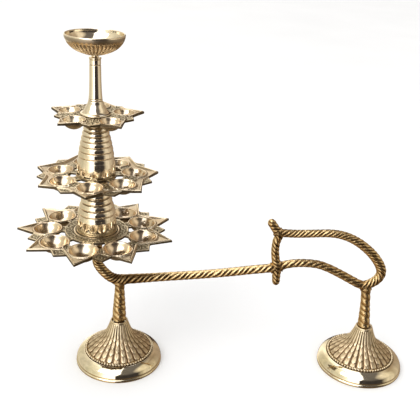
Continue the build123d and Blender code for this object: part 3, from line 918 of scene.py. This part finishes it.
def make_handle():
    """The handle's seven limbs, from the column to the rear base."""
    rope_limb(
        "neck",
        [(0, 131), (0, 120), (0.3, 111), (3.4, 104.6), (8.2, 98.8), (13.5, 94.6), (20, 92.4), (28, 92.6)],
        [(0, 5.2), (0.3, 4.9), (0.7, 5.0), (0.9, 5.4), (1, 5.2)],
        strands=6, spacing=3.6, depth=0.8, front=0.4, shade=[(0, 9, 0.25), (0.85, 10, 0.35)],
    )
    rope_limb(
        "main_bar",
        [(24, 92.6), (41.7, 94.3), (71, 97.4), (101, 100.5), (130, 104.2), (150, 107.3), (174.5, 110.7)],
        [(0, 5.0), (0.08, 4.9), (0.2, 4.5), (0.5, 4.3), (1, 4.45)],
        strands=5, spacing=5.8, depth=1.35, front=0.9, webs=(None, (4.2, 1.6)),
        shade=[(0, 22, 0.45), (1, 6, 0.3)],
    )
    rope_limb(
        "front_leg",
        [(21.4, 44), (21.5, 60), (21.7, 76), (21.8, 84), (21.8, 93)],
        [(0, 4.4), (0.03, 6.0), (0.07, 6.8), (0.2, 6.8), (0.5, 5.8), (0.75, 4.9), (1, 4.7)],
        strands=3, spacing=6.2, depth=0.7, front=0.3, webs=(None, (4.8, 3.0)),
        shade=[(0, 2.4, 0.6), (1, 11, 0.35)], contrast=0.55,
    )
    rope_limb(
        "guard_post",
        [(176.9, 91.5), (176.4, 102), (176.3, 111), (174.0, 121), (172.8, 130), (173.2, 139), (174.8, 147),
         (170.6, 153.8), (164.5, 162.2)],
        [(0, 3.7), (0.08, 4.0), (0.27, 4.6), (0.4, 4.1), (0.6, 4.0), (0.75, 4.4), (0.9, 4.2), (1, 4.0)],
        strands=4, spacing=4.4, depth=0.9, front=0.5, caps=(True, True),
        shade=[(0.27, 5, 0.35), (0.76, 4, 0.2)],
    )
    rope_limb(
        "grip_top",
        [(170, 150.2), (178.7, 148.7), (195, 148.5), (215, 149.6), (226, 149.9), (236, 148.6),
         (246, 145.3), (256, 139.8), (266.6, 131.5), (275, 122.3), (280.2, 113.6), (281, 106.8),
         (277.6, 100.2), (270, 95.0), (263, 93.2)],
        [(0, 4.1), (0.3, 3.9), (0.45, 4.2), (0.65, 4.7), (0.8, 5.0), (1, 4.6)],
        strands=6, spacing=4.6, depth=0.9, front=0.55, webs=((6.6, 1.3), None),
        shade=[(0, 14, 0.3), (1, 9, 0.3)],
    )
    rope_limb(
        "grip_bottom",
        [(176, 111.6), (182, 113.5), (190, 115.7), (200, 116.7), (210, 116.5), (219, 115.1), (229.4, 111.2),
         (240, 106.0), (251, 100.1), (260, 95.4), (269, 92.0)],
        [(0, 4.2), (0.3, 4.1), (0.7, 4.3), (1, 4.5)],
        strands=5, spacing=6.4, depth=0.9, front=0.6, webs=((4.6, 2.4), (4.4, 1.6)),
        shade=[(0, 8, 0.3), (1, 9, 0.3)],
    )
    rope_limb(
        "rear_leg",
        [(272.8, 44), (272.1, 50), (271.2, 62), (270.0, 76), (268.8, 88), (268.4, 94)],
        [(0, 4.2), (0.03, 5.5), (0.07, 6.2), (0.2, 6.0), (0.3, 5.7), (0.6, 4.9), (1, 4.8)],
        strands=2, spacing=7.2, depth=0.8, front=0.3, webs=(None, (4.6, 1.2)),
        shade=[(0, 2.4, 0.6), (1, 9, 0.3)], contrast=0.55,
    )


# ------------------------------------------------------------------ bases

def leaf_relief(turn, share, columns):
    """Columns of overlapping pointed leaves between dark lines, turning into flutes at the neck.

    Every other column stands half a leaf higher or lower than its neighbours.
    """
    c = columns * turn / (2 * pi)
    u = 2 * np.abs(c % 1 - 0.5)
    along = 5.5 * share + 0.5 * (np.floor(c) % 2)
    t = along % 1
    half = 0.84 * np.minimum(np.sqrt(t / 0.34), 1)
    inside = u < half
    crown = np.sqrt(np.clip(1 - (u / np.maximum(half, 1e-3)) ** 2, 0, 1))
    rib = np.clip(1 - u / 0.14, 0, 1) * np.clip((t - 0.15) / 0.2, 0, 1)
    leaf = (1 - 0.5 * t) * (0.45 + 0.55 * crown) - 0.16 * rib
    below = 0.32 * (u < 0.80)
    relief = np.where(inside, leaf, below)
    flutes = np.abs(np.cos(pi * (c + 0.5))) ** 0.8
    fade = np.clip((share - 0.62) / 0.14, 0, 1)
    return relief * (1 - fade) + flutes * fade


def nearest_index(line, point):
    return int(np.argmin(np.hypot(line[:, 0] - point[0], line[:, 1] - point[1])))


def base_profile(high, wide, socket):
    """Closed line round a base's wall, up its outside and down its inside, and the dome's stretch of it."""
    roof = high - 13.5
    lip = [(wide - 4.2, 0), (wide - 0.5, 0), (wide - 0.08, 0.35), (wide - 0.03, 1.0), (wide - 0.08, 2.3)]
    lip += [(wide - 0.45, 2.7), (wide - 1.35, 2.95), (wide - 0.75, 3.3)]
    band = curve_through(
        [(wide - 0.55, 3.9), (wide - 0.55, 5.0), (wide - 1.9, 8.2), (wide - 4.9, 11.3), (35.0, 13.4)], 0.4
    )
    dome = curve_through(
        [(31.6, 14.2), (28.2, 17.4), (24.0, 21.1), (19.8, 24.6), (16.0, 28.4), (13.0, 32.9),
         (11.0, 37.4), (9.5, 41.6), (8.7, high - 2)], 0.4
    )
    outer = even([*lip, *band, (34.4, 12.8), (32.4, 12.8), *dome, (8.8, high - 0.9), (8.4, high)], 0.42)
    inner = even(
        [(8.4, high), (socket + 0.35, high), (socket + 0.3, high - 2.5), (STUD_HOLE, high - 2.5)], 0.46
    )
    vault = curve_through(
        [(9, roof), (11.5, 31.8), (14.6, 27.2), (18.6, 23.0), (22.9, 19.4), (27.0, 15.6), (30.5, 12.2)], 0.8
    )
    skirt = curve_through([(30.5, 12.2), (36.0, 9.4), (39.2, 6.0), (wide - 4.2, 0)], 0.8)
    under = even([(STUD_HOLE, high - 2.5), (STUD_HOLE, roof), (9, roof), *vault, *skirt], 1.5)
    return soften(np.vstack([outer[:-1], inner[:-1], under[:-1]]), 1, closed=True), dome


def domed_base(node, socket):
    """Domed foot: grooved lip, polished band, dome with leaves in relief, and a socket for the leg."""
    x, high = middle_x(node), top_z(node)
    columns, bead_circle = 26, 33.3
    profile, dome = base_profile(high, BASE_RADIUS, socket)
    turn = np.linspace(0, 2 * pi, columns * 14, endpoint=False)[None, :]
    r, z = profile[:, 0][:, None], profile[:, 1][:, None]
    out_r, out_z = outward(profile).T[:, :, None]
    order = np.arange(len(profile))
    start, end = nearest_index(profile, dome[0]), nearest_index(profile, dome[-1])
    share = ((order - start) / (end - start))[:, None]
    on_dome = (share > 0) & (share < 1)
    leaves = leaf_relief(turn, np.clip(share, 0, 1), columns)
    edge = np.clip(np.minimum(share, 1 - share) / 0.02, 0, 1) * on_dome
    lift = 1.1 * leaves * edge * np.clip(r / 22, 0.4, 1)
    vertices = np.stack(
        [x + (r + lift * out_r) * np.cos(turn), (r + lift * out_r) * np.sin(turn), z + lift * out_z], -1
    ).reshape(-1, 3)
    faces = grid_faces(len(profile), turn.size, close_rows=True)
    piece = new_mesh(node + "_cast", vertices, faces, BASE)
    sunk = hollows(profile, 10)[:, None]
    in_socket = (z > high - 2.4) & (r < socket + 0.5)
    bead_groove = np.abs(r - bead_circle) + np.abs(z - 13.0) < 1.7
    matt = on_dome | in_socket | bead_groove | (z > dome[-1, 1])
    shine = np.where(matt, 0.0, sunk**2) + 0 * turn
    # painted shade: the socket, the groove under the beads and the lip's grooves get low relief, so they
    # render dark
    plain = np.where(in_socket | bead_groove, 0.12, np.minimum(sunk, 0.9))
    relief = np.where(on_dome, leaves, plain) + 0 * turn
    set_attribute(piece, "relief", np.clip(relief, 0, 1).ravel())
    set_attribute(piece, "polish", shine.ravel())
    attach(piece, "stand", "base_brass", node)
    bead_ring(node, x, bead_circle, z=14.0, size=1.3, count=72)


def bead_ring(node, x, radius, z, size, count):
    """Row of cast beads lying between the polished band and the dome, painted darker on their lower halves
    as shade.
    """
    rings, sides = 7, 12
    vertices, faces, relief = [], [], []
    for i in range(count):
        turn = 2 * pi * i / count
        wide = size * (0.96 + 0.08 * sin(i * 2.4))
        first = len(vertices)
        for j in range(rings + 1):
            tilt = pi * j / rings - pi / 2
            for k in range(sides):
                spin = 2 * pi * k / sides
                out, side = wide * cos(tilt) * cos(spin), wide * 1.05 * cos(tilt) * sin(spin)
                vertices.append((
                    x + (radius + out) * cos(turn) - side * sin(turn),
                    (radius + out) * sin(turn) + side * cos(turn),
                    z + wide * sin(tilt),
                ))
                # painted shade: each bead is darker on its lower half
                relief.append(0.3 + 0.7 * max(0.0, sin(tilt)))
        for j in range(rings):
            for k in range(sides):
                a, b = first + j * sides + k, first + j * sides + (k + 1) % sides
                faces.append((a, b, b + sides, a + sides))
    piece = new_mesh(node + "_beads", vertices, faces, BASE)
    set_attribute(piece, "relief", relief)
    set_attribute(piece, "polish", [0.2] * len(vertices))
    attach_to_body(piece, "stand")


# ------------------------------------------------------------------ assembly

make_camera()
make_floor()
make_tent()
make_lights()

fluted_bowl()
slim_column()
beehive("middle_column", 8.0, 17.9, 14.2, 8, 1.25)
beehive("lower_column", 8.2, 19.2, 13.9, 7, 1.05)
collar()
TIERS = {
    "bottom_tier": Tier(
        [24, 61, 102, 143, 182, 220, 261, 300, 345], tip=74.6, valley=58.5, leaf=65.0,
        lamp_circle=46.2, well=12.4, depth=9.6, gap=(30.2, 41.0, 11.0), foot=19.2, seat=20.9,
    ),
    "middle_tier": Tier(
        [12, 62, 113, 166, 216, 267, 319], tip=58.0, valley=48.0, leaf=53.5,
        lamp_circle=35.0, well=10.8, depth=8.6, gap=(18.6, 25.5, 9.0), foot=17.9,
    ),
    "top_tier": Tier(
        [19, 89, 159, 231, 305], tip=44.8, valley=32.5, leaf=36.5,
        lamp_circle=26.2, well=9.2, depth=7.6, gap=None, foot=13.9,
    ),
}
for tier_node, tier_shape in TIERS.items():
    cast_tier(tier_node, tier_shape)
make_handle()
domed_base("front_base", socket=7.0)
domed_base("rear_base", socket=6.4)

for node_name in ("tie_rod", "front_base_washer", "rear_base_washer", "front_base_nut", "rear_base_nut"):
    for material_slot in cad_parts[node_name].material_slots:
        material_slot.material = STEEL
